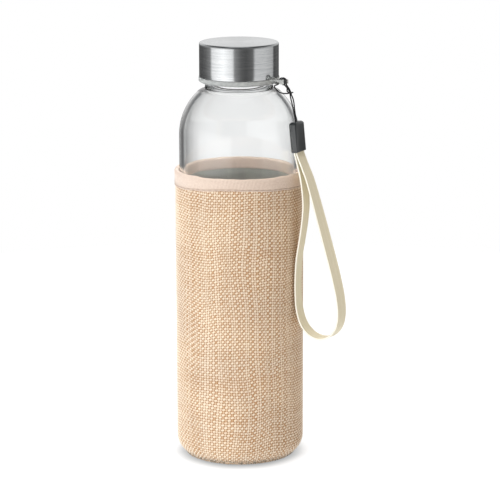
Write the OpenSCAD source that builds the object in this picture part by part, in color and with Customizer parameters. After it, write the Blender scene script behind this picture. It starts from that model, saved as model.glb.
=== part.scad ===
// Glass drinking bottle with a steel screw cap, a sewn cloth sleeve and a wrist strap.
// Millimetres. The origin is at the bottom centre of the sleeve, with +Z up.

/* [Glass bottle] */
// Height from the floor to the top of the cap
total_h = 220; // [180:1:270]
// Outside diameter of the glass body
bottle_d = 62.6; // [52:0.2:76]
// Wall of the glass
glass_wall = 2.4; // [1.8:0.1:3.2]
// Thickness of the glass base
glass_base = 4.5; // [3:0.1:7]
// Radius of the corner between the glass wall and its base
glass_corner = 7.5; // [5:0.1:10]
// Outside diameter of the plain neck under the cap
neck_d = 35.4; // [31:0.2:40]
// Height of the plain neck between the shoulder and the strap ring
neck_show = 2.8; // [2:0.1:5]
// How far the threaded part of the neck is set in from the plain neck
finish_step = 0.5; // [0.3:0.1:1]
// Rounding of the lip
lip_round = 0.6; // [0.3:0.1:0.9]

/* [Thread] */
// Rise of the thread in one turn
thread_pitch = 4.2; // [3.6:0.1:5]
// Height of the glass ridge over the neck
thread_h = 1.2; // [0.8:0.1:1.4]
// Width of a ridge at its foot
ridge_foot = 1.6; // [1.2:0.1:1.7]
// Width of a ridge at its crest
ridge_crest = 0.8; // [0.5:0.1:1]
// Turns of thread
thread_turns = 1.5; // [1:0.25:1.75]
// Clearance between the glass thread and the cap's thread
thread_gap = 0.3; // [0.2:0.05:0.4]

/* [Cap] */
// Height of the steel shell
shell_h = 17.8; // [16.5:0.1:24]
// Thickness of the steel
shell_t = 0.5; // [0.3:0.1:0.8]
// Rounding of the shell's top edge
shell_round = 0.8; // [0.5:0.1:2]
// Wall of the threaded insert behind its thread
insert_wall = 0.8; // [0.6:0.1:1.4]
// Spare wall of the insert behind the steel
insert_back = 0.63; // [0.3:0.01:1.5]
// Thickness of the insert's top
insert_top = 1.2; // [0.8:0.1:2]
// Thickness of the seal
seal_t = 1.5; // [1:0.1:2.5]

/* [Strap ring] */
// Height of the ring
ring_h = 2; // [1.5:0.05:3]
// Wall of the ring
ring_wall = 1.2; // [0.9:0.1:2.5]
// Running clearance of the ring on the cap
ring_gap = 0.2; // [0.15:0.01:0.4]
// Height of the insert's lip that holds the ring
catch_h = 0.4; // [0.3:0.1:1]
// Reach of the eyelet out from the ring
lug_reach = 7.5; // [6:0.05:9]
// Width of the eyelet
lug_w = 6.4; // [5:0.1:8]
// Width of the eyelet's slot
slot_w = 2.4; // [2:0.1:2.8]
// Length of the eyelet's slot
slot_l = 3.4; // [2.8:0.1:4]
// Solid length between the ring and the slot
slot_root = 1.65; // [1.2:0.05:2]

/* [Sleeve] */
// Gap between the glass and the lining
sleeve_gap = 0.3; // [0.2:0.05:0.6]
// Thickness of the lining
lining_t = 0.8; // [0.6:0.1:2]
// Thickness of the woven cover
cover_t = 0.95; // [0.7:0.05:2]
// Height of the sleeve with its binding
sleeve_h = 153.9; // [110:0.1:185]
// Height of the binding
binding_h = 6.4; // [5:0.1:9]
// Thickness of the binding
binding_t = 0.45; // [0.3:0.05:0.6]
// Diameter of the cover's base disc
base_disc_d = 50; // [36:1:52]
// Diameter of the sewn seam round the base
base_seam_d = 57.2; // [46:0.2:60]
// Thickness of the base seam
base_seam_t = 1.3; // [0.8:0.1:1.6]
// Number of stitches round the binding
stitch_count = 60; // [20:1:90]
// Length of a stitch
stitch_l = 2.2; // [1:0.1:2.4]
// Thickness of the sewing thread
stitch_t = 0.4; // [0.2:0.05:0.5]

/* [Wrist strap] */
// Direction of the eyelet and the strap about +Z
strap_angle = -29; // [-180:1:180]
// Diameter of the cord
cord_d = 0.7; // [0.5:0.1:0.8]
// Width of the woven strap
strap_w = 8; // [6:0.1:10]
// Thickness of the woven strap
strap_t = 1; // [0.7:0.05:1.05]
// Wall of the clip beside the strap
clip_wall = 0.8; // [0.6:0.1:1.4]
// Thickness of the clip through both halves
clip_t = 4.2; // [3.6:0.1:5]
// Height of the clip
clip_h = 15.6; // [14.5:0.1:18]
// Rounding of the clip's top corners
clip_round = 1.4; // [0.6:0.1:1.8]
// Depth of the pocket that holds the strap
pocket_deep = 7.8; // [6:0.1:9]
// Lean of the clip away from the bottle
clip_lean = 5.7; // [3:0.1:8]

/* [Hidden] */
$fn = 96;

// overlap that joins two shapes of one solid, and how far a cut runs past a face
sink = 0.3;
past = 1;

// glass and sleeve
bottle_r = bottle_d / 2;
neck_r = neck_d / 2;
lining_r = bottle_r + sleeve_gap;
cover_inner_r = lining_r + lining_t;
cover_r = cover_inner_r + cover_t;
floor_z = cover_t + lining_t;
lining_corner = glass_corner + sleeve_gap;
cover_corner = lining_corner + lining_t + cover_t;
base_r = min(base_disc_d / 2, cover_r - cover_corner);
wall_top_z = sleeve_h - binding_t;
binding_z = sleeve_h - binding_h;

// closure, from the top down
insert_r = neck_r - finish_step + thread_h + thread_gap;
shell_inner_r = insert_r + insert_wall + insert_back;
shell_r = shell_inner_r + shell_t;
seal_z = total_h - shell_t - insert_top - seal_t;
shell_z = total_h - shell_h;
ring_top_z = shell_z - ring_gap;
ring_z = ring_top_z - ring_h;
catch_top_z = ring_z - ring_gap;
insert_z = catch_top_z - catch_h;
ring_inner_r = insert_r + insert_wall + ring_gap;
ring_r = ring_inner_r + ring_wall;
catch_r = ring_inner_r + ring_wall / 4;
neck_foot_z = ring_z - neck_show;
shoulder_z = neck_foot_z - sqrt(bottle_r * bottle_r - neck_r * neck_r);

// thread, whose ridges stand half a pitch apart on the glass and in the cap
finish_r = neck_r - finish_step;
crest_r = finish_r + thread_h;
insert_crest_r = finish_r + thread_gap;
insert_thread_z = shell_z + ridge_foot / 2 + ring_gap / 2;
glass_thread_z = insert_thread_z + thread_pitch / 2;
thread_step = 7.5;
thread_taper = 30;

// strap parts hang in a plane through the bottle's axis. Their points are [out, across, up] from the middle
// of the eyelet's outer end, at the underside of the ring
lug_end_r = ring_r + lug_reach;
slot_in = ring_r + slot_root + slot_w / 2;
slot_out = slot_in + slot_l - slot_w;
clip_w = strap_w + 2 * clip_wall;
clip_foot = [6.6, 0, -34.6];
plies_t = 2 * strap_t + strap_t / 10;
cord_hole_w = 2 * cord_d + 0.5;
cord_hole_t = cord_d + 0.3;
cord_hole_deep = 5;

// the cord runs from the clip up through the eyelet, round its own two strands, and back to the clip
cord_route = [
    [5.4, 0.45, -23], [5.2, 0.45, -21], [4.9, 0.45, -18.5], [4.35, 0.5, -16], [3.7, 0.65, -12.6],
    [3.35, 0.75, -9.9], [2.8, 0.65, -7.5], [2.1, 0.5, -5.8], [1.6, 0.4, -4.2], [1.1, -0.3, -2.4],
    [0.2, -1.72, 0], [0.13, -1.73, 1.4], [-0.15, -1.62, 2.6], [-1.3, -1, 3], [-2.6, -0.3, 2.95],
    [-3.3, 0.1, 2], [-3.45, 0.2, 0.6], [-3.1, 0.2, -0.45], [-2, 0.3, -0.75], [-0.7, 0, -1.5],
    [0.1, -0.42, -2.1], [0.2, -0.95, -3.1], [0.8, -1.38, -3.85], [2.35, -1.3, -4.1], [2.42, 1.2, -4.4],
    [0.85, 1.2, -4.75], [0.4, 0.3, -4.9], [-0.1, -0.8, -4.85], [-1.3, -1.8, -4.75], [-3, -2.5, -4.3],
    [-4.8, -2.8, -3.2], [-6, -2.7, -1.9], [-6.3, -2.2, -1.05], [-5.7, -1.3, -0.75], [-5, -0.5, -0.3],
    [-4.7, -0.35, 0.9], [-4.2, -0.6, 2.2], [-3.2, -1, 2.95], [-1.8, -1.7, 3], [-0.6, -2.28, 2.6],
    [-0.38, -2.48, 1.4], [-0.34, -2.52, 0], [0.87, -1.22, -2.5], [1.6, -0.4, -4.2], [1.85, -0.5, -6],
    [2.45, -0.7, -8], [3.15, -0.75, -10.4], [3.7, -0.6, -13.1], [4.3, -0.5, -16], [4.9, -0.45, -18.5],
    [5.2, -0.45, -21], [5.4, -0.45, -23]
];

// the strap runs from the clip down beside the sleeve, round its loop, and back up into the clip
strap_route = [
    [5.35, 0, -27.5], [5.7, 0, -31], [6.05, 0, -34.6], [7.4, 0, -40], [9.2, 0, -47], [10.4, 0, -55],
    [10.8, 0, -63], [10, 0, -72], [8.4, 0, -82], [6.9, 0, -91], [6.35, 0, -100], [6.35, 0, -109],
    [7.2, 0, -118], [9.8, 0, -125.5], [14.6, 0, -130.4], [20.6, 0, -132], [26.2, 0, -130], [30.2, 0, -125],
    [31.6, 0, -118], [30.8, 0, -109], [28.5, 0, -99], [25.8, 0, -89.5], [22.8, 0, -79.5], [19.6, 0, -69],
    [16.2, 0, -58], [13, 0, -48.5], [10.6, 0, -43], [8.6, 0, -38.5], [7.15, 0, -34.6], [6.8, 0, -31],
    [6.45, 0, -27.5]
];

// Half outline of a round cup that stands on z0, with a rounded lower corner
module cup_outline(r, corner, z0, z1) {
    translate([0, z0 + corner]) square([r, z1 - z0 - corner]);
    translate([0, z0]) square([r - corner, corner + past / 2]);
    translate([r - corner, z0 + corner]) circle(corner);
}

// Half outline of a round cap that ends at z1, with a rounded upper corner
module cap_outline(r, corner, z0, z1) {
    translate([0, z0]) square([r, z1 - corner - z0]);
    translate([0, z1 - corner - past / 2]) square([r - corner, corner + past / 2]);
    translate([r - corner, z1 - corner]) circle(corner);
}

// Half outline of the whole bottle, drawn in by inset for the inside
module bottle_outline(inset, base_z, neck, top_z) {
    intersection() {
        union() {
            cup_outline(bottle_r - inset, glass_corner - min(inset, glass_corner / 2), base_z, shoulder_z);
            translate([0, shoulder_z]) circle(bottle_r - inset);
            translate([0, shoulder_z]) square([neck, top_z - shoulder_z]);
        }
        translate([0, base_z]) square([bottle_r, total_h]);
    }
}

// One coiled ridge: foot at foot_r, crest at top_r, its middle at z when it starts
module ridge(foot_r, top_r, z) {
    steps = thread_turns * 360 / thread_step;
    function rise(a) = min(1, 0.1 + min(a, thread_turns * 360 - a) / thread_taper);
    function ring(a) = let(
        crest = foot_r + (top_r - foot_r) * rise(a),
        buried = foot_r - sign(top_r - foot_r) * sink,
        h = z + thread_pitch * a / 360
    ) [for (p = [
        [buried, -ridge_foot / 2], [crest, -ridge_crest / 2],
        [crest, ridge_crest / 2], [buried, ridge_foot / 2]
    ]) [p[0] * cos(a), p[0] * sin(a), h + p[1]]];
    points = [for (i = [0:steps]) each ring(i * thread_step)];
    swept(points, 4, top_r > foot_r);
}

// Closed skin over equal rings of points, with flat ends; clockwise is how a ring runs, seen along the sweep
module swept(points, sides, clockwise = false) {
    rings = len(points) / sides;
    walls = [for (i = [0:rings - 2], j = [0:sides - 1]) let(
        a = i * sides + j, b = i * sides + (j + 1) % sides
    ) each [[a, b, b + sides], [a, b + sides, a + sides]]];
    ends = [[for (j = [sides - 1:-1:0]) j], [for (j = [0:sides - 1]) (rings - 1) * sides + j]];
    faces = concat(walls, ends);
    polyhedron(points, clockwise ? faces : [for (f = faces) [for (k = [len(f) - 1:-1:0]) f[k]]]);
}

// Point on the smooth curve through four neighbours, at t between the middle two
function curve(p0, p1, p2, p3, t) =
    (2 * p1 + (p2 - p0) * t + (2 * p0 - 5 * p1 + 4 * p2 - p3) * t * t
    + (3 * p1 - p0 - 3 * p2 + p3) * t * t * t) / 2;

// Smooth line through a route's points, with a number of steps to each stretch
function smooth_line(route, steps) = let(last = len(route) - 1) concat(
    [for (i = [0:last - 1], k = [0:steps - 1])
        curve(route[max(i - 1, 0)], route[i], route[i + 1], route[min(i + 2, last)], k / steps)],
    [route[last]]
);

function unit(v) = v / norm(v);
function heading(line, i) = unit(line[min(i + 1, len(line) - 1)] - line[max(i - 1, 0)]);

// A side direction carried along the line without twisting
function carried(line, i, side) = let(h = heading(line, i)) unit(side - (side * h) * h);
function sides_of(line, side, i = 0, found = []) =
    i == len(line) ? found
    : let(next = carried(line, i, side)) sides_of(line, next, i + 1, concat(found, [next]));

// Round cord along a line
module cord(line, d, sides = 8) {
    side = sides_of(line, [0, 1, 0]);
    points = [for (i = [0:len(line) - 1]) let(
        h = heading(line, i), u = side[i], v = cross(h, u)
    ) for (j = [0:sides - 1]) line[i] + d / 2 * (cos(j * 360 / sides) * u + sin(j * 360 / sides) * v)];
    swept(points, sides);
}

// Flat strap along a line that stays in the plane across = 0
module flat_strap(line, w, t) {
    points = [for (i = [0:len(line) - 1]) let(
        h = heading(line, i), u = [0, 1, 0], v = cross(h, u)
    ) for (c = [[-1, -1], [1, -1], [1, 1], [-1, 1]]) line[i] + c[0] * w / 2 * u + c[1] * t / 2 * v];
    swept(points, 4);
}

// Turns what is laid out in the strap's plane to its place round the bottle
module at_strap() {
    rotate([0, 0, strap_angle]) children();
}

// The same, for what hangs from the eyelet
module from_eyelet() {
    at_strap() translate([lug_end_r, 0, ring_z]) children();
}

module sleeve_cover() {
    color("tan") rotate_extrude() difference() {
        cup_outline(cover_r, cover_corner, 0, wall_top_z);
        cup_outline(cover_inner_r, cover_corner - cover_t, cover_t, wall_top_z + past);
        translate([0, -past]) square([base_r, past + cover_t + past]);
    }
}

module sleeve_base() {
    color("tan") cylinder(r = base_r, h = cover_t);
}

// Sewn edge round the base, half buried in the rounded corner of the cover
module base_seam() {
    centre_r = min(base_seam_d / 2, cover_r - cover_corner / 2);
    out = centre_r - (cover_r - cover_corner);
    centre_z = cover_corner - sqrt(cover_corner * cover_corner - out * out);
    color("burlywood") rotate_extrude() difference() {
        translate([centre_r, centre_z]) circle(base_seam_t / 2);
        cup_outline(cover_r, cover_corner, 0, wall_top_z);
    }
}

module sleeve_lining() {
    color("darkgray") rotate_extrude() difference() {
        cup_outline(cover_inner_r, cover_corner - cover_t, cover_t, wall_top_z);
        cup_outline(lining_r, lining_corner, floor_z, wall_top_z + past);
        translate([0, cover_t - past]) square([base_r, past + lining_t + past]);
        translate([0, binding_z]) square([lining_r + binding_t, binding_h + past]);
    }
}

module base_lining() {
    color("darkgray") translate([0, 0, cover_t]) cylinder(r = base_r, h = lining_t);
}

// Bias tape folded over the raw edge of cover and lining
module rim_binding() {
    outer = cover_r + binding_t;
    color("bisque") rotate_extrude() difference() {
        union() {
            translate([lining_r, binding_z]) square([outer - lining_r, binding_h - binding_t]);
            translate([lining_r + binding_t, binding_z])
                square([outer - lining_r - 2 * binding_t, binding_h]);
            for (r = [lining_r + binding_t, outer - binding_t])
                translate([r, sleeve_h - binding_t]) circle(binding_t);
        }
        translate([lining_r + binding_t, binding_z - past])
            square([cover_r - lining_r - binding_t, wall_top_z - binding_z + past]);
    }
}

module binding_stitches() {
    r = cover_r + binding_t;
    color("peachpuff") for (i = [0:stitch_count - 1])
        rotate([0, 0, (i + 0.5) * 360 / stitch_count])
            translate([r - stitch_t / 2, -stitch_l / 2, binding_z + stitch_t * 2])
                cube([stitch_t, stitch_l, stitch_t]);
}

module glass_bottle() {
    lip_z = seal_z;
    mouth_r = neck_r - glass_wall;
    color("lightcyan", 0.4) union() {
        rotate_extrude() difference() {
            bottle_outline(0, floor_z, neck_r, ring_z + ring_h / 2);
            bottle_outline(glass_wall, floor_z + glass_base, mouth_r, total_h);
        }
        rotate_extrude() {
            translate([mouth_r, ring_z]) square([finish_r - mouth_r, lip_z - lip_round - ring_z]);
            translate([mouth_r + lip_round, lip_z - 2 * lip_round])
                square([finish_r - mouth_r - 2 * lip_round, 2 * lip_round]);
            for (r = [mouth_r + lip_round, finish_r - lip_round])
                translate([r, lip_z - lip_round]) circle(lip_round);
        }
        ridge(finish_r, crest_r, glass_thread_z);
    }
}

module strap_ring() {
    color("silver") difference() {
        union() {
            translate([0, 0, ring_z]) cylinder(r = ring_r, h = ring_h);
            at_strap() translate([0, -lug_w / 2, ring_z]) cube([lug_end_r - lug_w / 2, lug_w, ring_h]);
            at_strap() translate([lug_end_r - lug_w / 2, 0, ring_z]) cylinder(d = lug_w, h = ring_h);
        }
        translate([0, 0, ring_z - past]) cylinder(r = ring_inner_r, h = ring_h + 2 * past);
        at_strap() {
            for (r = [slot_in, slot_out])
                translate([r, 0, ring_z - past]) cylinder(d = slot_w, h = ring_h + 2 * past);
            translate([slot_in, -slot_w / 2, ring_z - past])
                cube([slot_out - slot_in, slot_w, ring_h + 2 * past]);
        }
    }
}

module cap_shell() {
    color("lightsteelblue") rotate_extrude() difference() {
        cap_outline(shell_r, shell_round, shell_z, total_h);
        cap_outline(shell_inner_r, shell_round - shell_t / 2, shell_z - past, total_h - shell_t);
    }
}

// Threaded insert pressed into the shell, with a lip below that holds the strap ring
module cap_insert() {
    skirt_r = insert_r + insert_wall;
    color("gainsboro") union() {
        rotate_extrude() difference() {
            union() {
                cap_outline(shell_inner_r, shell_round - shell_t / 2, shell_z, total_h - shell_t);
                translate([0, insert_z]) square([skirt_r, shell_h]);
                translate([0, insert_z]) square([catch_r, catch_h]);
            }
            translate([0, insert_z - past]) square([insert_r, seal_z + seal_t - insert_z + past]);
        }
        ridge(insert_r, insert_crest_r, insert_thread_z);
    }
}

module cap_seal() {
    color("whitesmoke") translate([0, 0, seal_z]) cylinder(r = insert_r, h = seal_t);
}

module strap_cord() {
    color("black") from_eyelet() cord(smooth_line(cord_route, 1), cord_d);
}

// One half of the clip; side is -1 for the half next to the bottle and 1 for the outer half
module clip_half(side) {
    from_eyelet() translate(clip_foot) rotate([0, -clip_lean, 0]) difference() {
        intersection() {
            rotate([90, 0, 90]) linear_extrude(clip_t, center = true) {
                translate([-clip_w / 2, 0]) square([clip_w, clip_h - clip_round]);
                translate([-clip_w / 2 + clip_round, 0]) square([clip_w - 2 * clip_round, clip_h]);
                for (x = [-1, 1])
                    translate([x * (clip_w / 2 - clip_round), clip_h - clip_round]) circle(clip_round);
            }
            rotate([90, 0, 0]) linear_extrude(clip_w + past, center = true) {
                translate([-clip_t / 2, 0]) square([clip_t, clip_h - clip_round]);
                translate([-clip_t / 2 + clip_round, 0]) square([clip_t - 2 * clip_round, clip_h]);
                for (x = [-1, 1])
                    translate([x * (clip_t / 2 - clip_round), clip_h - clip_round]) circle(clip_round);
            }
            translate([side > 0 ? 0 : -clip_t, -clip_w, 0]) cube([clip_t, 2 * clip_w, clip_h]);
        }
        translate([-plies_t / 2, -strap_w / 2, -past]) cube([plies_t, strap_w, pocket_deep + past]);
        translate([-cord_hole_t / 2, -cord_hole_w / 2, clip_h - cord_hole_deep])
            cube([cord_hole_t, cord_hole_w, cord_hole_deep + past]);
    }
}

module clip_back() {
    color("dimgray") clip_half(-1);
}

module clip_front() {
    color("dimgray") clip_half(1);
}

module wrist_strap() {
    color("wheat") from_eyelet() flat_strap(smooth_line(strap_route, 2), strap_w, strap_t);
}

sleeve_cover();
sleeve_base();
base_seam();
sleeve_lining();
base_lining();
rim_binding();
binding_stitches();
glass_bottle();
strap_ring();
cap_shell();
cap_insert();
cap_seal();
strap_cord();
clip_back();
clip_front();
wrist_strap();
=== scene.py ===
# Glass drinking bottle with a steel screw cap, a woven sleeve and a wrist strap on the cap's ring.
# Metres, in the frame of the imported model: +Z up the bottle, -Y to the front.
import math
import random

import bmesh
import bpy
from mathutils import Matrix, Vector, noise


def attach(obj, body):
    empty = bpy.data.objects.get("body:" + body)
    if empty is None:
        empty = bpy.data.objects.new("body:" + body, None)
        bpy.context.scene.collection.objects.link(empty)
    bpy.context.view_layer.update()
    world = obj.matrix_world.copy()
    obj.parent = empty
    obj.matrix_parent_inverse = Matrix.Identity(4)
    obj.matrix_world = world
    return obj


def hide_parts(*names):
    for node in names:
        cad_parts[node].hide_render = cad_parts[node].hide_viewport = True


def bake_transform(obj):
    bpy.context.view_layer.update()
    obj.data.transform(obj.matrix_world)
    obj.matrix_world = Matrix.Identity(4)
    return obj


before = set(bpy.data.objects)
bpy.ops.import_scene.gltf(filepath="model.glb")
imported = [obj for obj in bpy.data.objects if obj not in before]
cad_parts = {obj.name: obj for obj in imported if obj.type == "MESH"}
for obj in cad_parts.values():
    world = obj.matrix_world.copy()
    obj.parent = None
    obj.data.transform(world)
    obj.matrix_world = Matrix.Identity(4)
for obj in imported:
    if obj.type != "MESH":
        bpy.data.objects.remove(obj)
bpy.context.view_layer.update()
scene = bpy.context.scene
MM = 0.001

# ---- Camera
# A long lens in front of the bottle, a little above its cap and tipped down at it.
lens_data = bpy.data.cameras.new("camera")
lens_data.lens = 168.35
lens_data.sensor_width = 36.0
lens_data.shift_x = 0.0245
lens_data.shift_y = 0.0006
lens_data.clip_start = 0.05
lens_data.clip_end = 20.0
camera = bpy.data.objects.new("camera", lens_data)
camera.location = (0.0, -1.2, 0.385)
camera.rotation_euler = (math.radians(90 - 12.93), math.radians(0.204), 0.0)
scene.collection.objects.link(camera)
scene.camera = camera


# ---- Hanging cord
# A thin braided nylon cord. Its loop is hitched through the eyelet of the cap's ring, and both of
# its ends are gripped by the clip below.
class Shade:
    """One socket of a node tree, with arithmetic. Without a socket it is the tree itself."""

    def __init__(self, tree, socket=None):
        self.tree = tree
        self.socket = socket

    def node(self, kind, settings=None, sockets=None, out=0):
        made = self.tree.nodes.new("ShaderNode" + kind)
        for name, value in (settings or {}).items():
            if name == "stops":
                ramp = made.color_ramp
                while len(ramp.elements) < len(value):
                    ramp.elements.new(1.0)
                for element, (place, colour) in zip(ramp.elements, value):
                    element.position = place
                    element.color = (*colour, 1.0)
            else:
                setattr(made, name, value)
        for name, value in (sockets or {}).items():
            if isinstance(value, Shade):
                self.tree.links.new(value.socket, made.inputs[name])
            else:
                made.inputs[name].default_value = value
        return Shade(self.tree, made.outputs[out])

    def math(self, operation, *others):
        return self.node("Math", {"operation": operation}, dict(enumerate((self, *others))))

    def __add__(self, other):
        return self.math("ADD", other)

    def __radd__(self, other):
        return self.math("ADD", other)

    def __sub__(self, other):
        return self.math("SUBTRACT", other)

    def __rsub__(self, other):
        return self.node("Math", {"operation": "SUBTRACT"}, {0: other, 1: self})

    def __mul__(self, other):
        return self.math("MULTIPLY", other)

    def __rmul__(self, other):
        return self.math("MULTIPLY", other)

    def __truediv__(self, other):
        return self.math("DIVIDE", other)

    def __abs__(self):
        return self.math("ABSOLUTE")

    def sin(self):
        return self.math("SINE")

    def fract(self):
        return self.math("FRACT")

    def floor(self):
        return self.math("FLOOR")

    def over(self, low, high):
        """0 below low, 1 above high, smooth between; the other way round if low is above high."""
        turned = low > high
        between = {"From Min": min(low, high), "From Max": max(low, high)}
        if turned:
            between.update({"To Min": 1.0, "To Max": 0.0})
        return self.node("MapRange", {"interpolation_type": "SMOOTHSTEP"}, {"Value": self, **between})

    def parts(self):
        split = self.tree.nodes.new("ShaderNodeSeparateXYZ")
        self.tree.links.new(self.socket, split.inputs[0])
        return [Shade(self.tree, split.outputs[i]) for i in range(3)]

    def stretched(self, x, y, z):
        return self.node("VectorMath", {"operation": "MULTIPLY"}, {0: self, 1: (x, y, z)})

    def noise(self, scale, detail=2.0, roughness=0.5):
        sockets = {"Vector": self, "Scale": scale, "Detail": detail, "Roughness": roughness}
        return self.node("TexNoise", {}, sockets)

    def blend(self, low, high):
        """A colour between low and high, by this number."""
        mixed = self.node("Mix", {"data_type": "RGBA"}, {0: self}, out=2)
        for socket, colour in ((6, low), (7, high)):
            target = mixed.socket.node.inputs[socket]
            if isinstance(colour, Shade):
                self.tree.links.new(colour.socket, target)
            else:
                target.default_value = (*colour, 1.0)
        return mixed

    def tinted(self, colour):
        """This colour multiplied by another."""
        return self.node("Mix", {"data_type": "RGBA", "blend_type": "MULTIPLY"},
                         {0: 1.0, 6: self, 7: (*colour, 1.0)}, out=2)

    def bump(self, distance, strength=1.0):
        return self.node("Bump", {}, {"Height": self, "Distance": distance, "Strength": strength})


def finish(name, **constants):
    """A new material, its node tree as a Shade, and a function that wires the surface's inputs."""
    material = bpy.data.materials.new(name)
    material.use_nodes = True
    tree = material.node_tree
    surface = tree.nodes["Principled BSDF"]
    for socket, value in constants.items():
        surface.inputs[socket.replace("_", " ")].default_value = value
    start = Shade(tree)

    def wire(**inputs):
        for socket, value in inputs.items():
            tree.links.new(value.socket, surface.inputs[socket.replace("_", " ")])

    return material, start, wire


def place_on(shade, out):
    return shade.node("TexCoord", {}, {}, out=out)


def flowing(route, steps):
    """Smooth line through a route's points, with a number of steps to each stretch."""
    points = [Vector(p) for p in route]
    last = len(points) - 1
    line = []
    for i in range(last):
        p0, p1, p2, p3 = points[max(i - 1, 0)], points[i], points[i + 1], points[min(i + 2, last)]
        for k in range(steps):
            t = k / steps
            line.append((2 * p1 + (p2 - p0) * t + (2 * p0 - 5 * p1 + 4 * p2 - p3) * t * t
                         + (3 * p1 - p0 - 3 * p2 + p3) * t * t * t) / 2)
    return line + [points[-1]]


def walk(line):
    """Each point's heading and its distance along the line."""
    headings, travel = [], [0.0]
    for i, point in enumerate(line):
        ahead, behind = line[min(i + 1, len(line) - 1)], line[max(i - 1, 0)]
        headings.append((ahead - behind).normalized())
        if i:
            travel.append(travel[-1] + (point - line[i - 1]).length)
    return headings, travel


# points nearer than this, in metres, are joined into one
JOIN = 1e-7


def laid(name, columns, rows, place, wrap=False):
    """A woven or braided piece: a grid whose points are laid where place(column, row) says.
    Its UV map counts columns and rows. wrap joins the last column to the first."""
    bm = bmesh.new()
    bmesh.ops.create_grid(bm, x_segments=columns, y_segments=rows, size=0.5)
    uv = bm.loops.layers.uv.new("threads")
    spot = {v: (round((v.co.x + 0.5) * columns), round((v.co.y + 0.5) * rows)) for v in bm.verts}
    for face in bm.faces:
        for loop in face.loops:
            loop[uv].uv = spot[loop.vert]
    for v, (column, row) in spot.items():
        v.co = place(column % columns if wrap else column, row)
    if wrap:
        bmesh.ops.remove_doubles(bm, verts=bm.verts, dist=JOIN)
    return bm


def piece(name, bm, material, body, slot, *replaced, crease=None):
    """Finishes a bmesh as an object that rides on a body and stands for CAD nodes."""
    mesh = bpy.data.meshes.new(name)
    bm.to_mesh(mesh)
    bm.free()
    mesh.shade_smooth()
    if crease:
        mesh.set_sharp_from_angle(angle=math.radians(crease))
    mesh.materials.append(material)
    made = bpy.data.objects.new(name, mesh)
    scene.collection.objects.link(made)
    if body:
        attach(made, body)
    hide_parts(*replaced)
    return made


# the strap's parts hang in a plane through the bottle's axis; points are [out, across, up] in
# millimetres from the middle of the eyelet's outer end, at the underside of the ring
STRAP_ANGLE = math.radians(-29)
EYELET_REACH = 28.4 * MM
RING_BOTTOM = 200.0 * MM
from_eyelet = (Matrix.Rotation(STRAP_ANGLE, 4, "Z")
               @ Matrix.Translation((EYELET_REACH, 0.0, RING_BOTTOM)) @ Matrix.Scale(MM, 4))

cord_route = [
    [5.4, 0.45, -23], [5.2, 0.45, -21], [4.9, 0.45, -18.5], [4.35, 0.5, -16], [3.7, 0.65, -12.6],
    [3.35, 0.75, -9.9], [2.8, 0.65, -7.5], [2.1, 0.5, -5.8], [1.6, 0.4, -4.2], [1.1, -0.3, -2.4],
    [0.2, -1.72, 0], [0.13, -1.73, 1.4], [-0.15, -1.62, 2.6], [-1.3, -1, 3], [-2.6, -0.3, 2.95],
    [-3.3, 0.1, 2], [-3.45, 0.2, 0.6], [-3.1, 0.2, -0.45], [-2, 0.3, -0.75], [-0.7, 0, -1.5],
    [0.1, -0.42, -2.1], [0.2, -0.95, -3.1], [0.8, -1.38, -3.85], [2.35, -1.3, -4.1], [2.42, 1.2, -4.4],
    [0.85, 1.2, -4.75], [0.4, 0.3, -4.9], [-0.1, -0.8, -4.85], [-1.3, -1.8, -4.75], [-3, -2.5, -4.3],
    [-4.8, -2.8, -3.2], [-6, -2.7, -1.9], [-6.3, -2.2, -1.05], [-5.7, -1.3, -0.75], [-5, -0.5, -0.3],
    [-4.7, -0.35, 0.9], [-4.2, -0.6, 2.2], [-3.2, -1, 2.95], [-1.8, -1.7, 3], [-0.6, -2.28, 2.6],
    [-0.38, -2.48, 1.4], [-0.34, -2.52, 0], [0.87, -1.22, -2.5], [1.6, -0.4, -4.2], [1.85, -0.5, -6],
    [2.45, -0.7, -8], [3.15, -0.75, -10.4], [3.7, -0.6, -13.1], [4.3, -0.5, -16], [4.9, -0.45, -18.5],
    [5.2, -0.45, -21], [5.4, -0.45, -23],
]
CORD_D = 0.7 * MM
CORD_SIDES = 12
CORD_LAY = 1.6 * MM
cord_line = [from_eyelet @ p for p in flowing(cord_route, 5)]
cord_heading, cord_travel = walk(cord_line)
cord_side, side = [], from_eyelet.to_3x3() @ Vector((0, 1, 0))
for heading in cord_heading:
    side = (side - side.dot(heading) * heading).normalized()
    cord_side.append(side)


def on_cord(column, row):
    """Round cord whose plaits stand a little proud."""
    turn = math.tau * column / CORD_SIDES
    lay = math.tau * cord_travel[row] / CORD_LAY
    plait = 0.5 * (math.cos(3 * turn + lay) + math.cos(3 * turn - lay))
    radius = CORD_D / 2 * (0.96 + 0.06 * plait)
    u = cord_side[row]
    v = cord_heading[row].cross(u)
    return cord_line[row] + radius * (math.cos(turn) * u + math.sin(turn) * v)


def capped(bm):
    """Closes the open ends of a tube."""
    rims = [e for e in bm.edges if e.is_boundary]
    bmesh.ops.holes_fill(bm, edges=rims, sides=0)
    bmesh.ops.recalc_face_normals(bm, faces=bm.faces)
    return bm


cord_black, shade, wire = finish("cord_black", Roughness=0.62, Specular_IOR_Level=0.4)
threads = place_on(shade, 2)
across, along, _ = threads.parts()
strand = (across * (math.tau / 4) + along * 1.3).sin() * (across * (math.tau / 4) - along * 1.3).sin()
fuzz = threads.stretched(2.0, 1.0, 1.0).noise(3.0, 3.0)
wire(Base_Color=(strand * 0.35 + fuzz * 0.9).over(0.1, 1.1).blend((0.006, 0.006, 0.007), (0.05, 0.05, 0.054)),
     Normal=(strand * 0.6 + fuzz * 0.4).bump(0.00008, 0.7))

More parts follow.
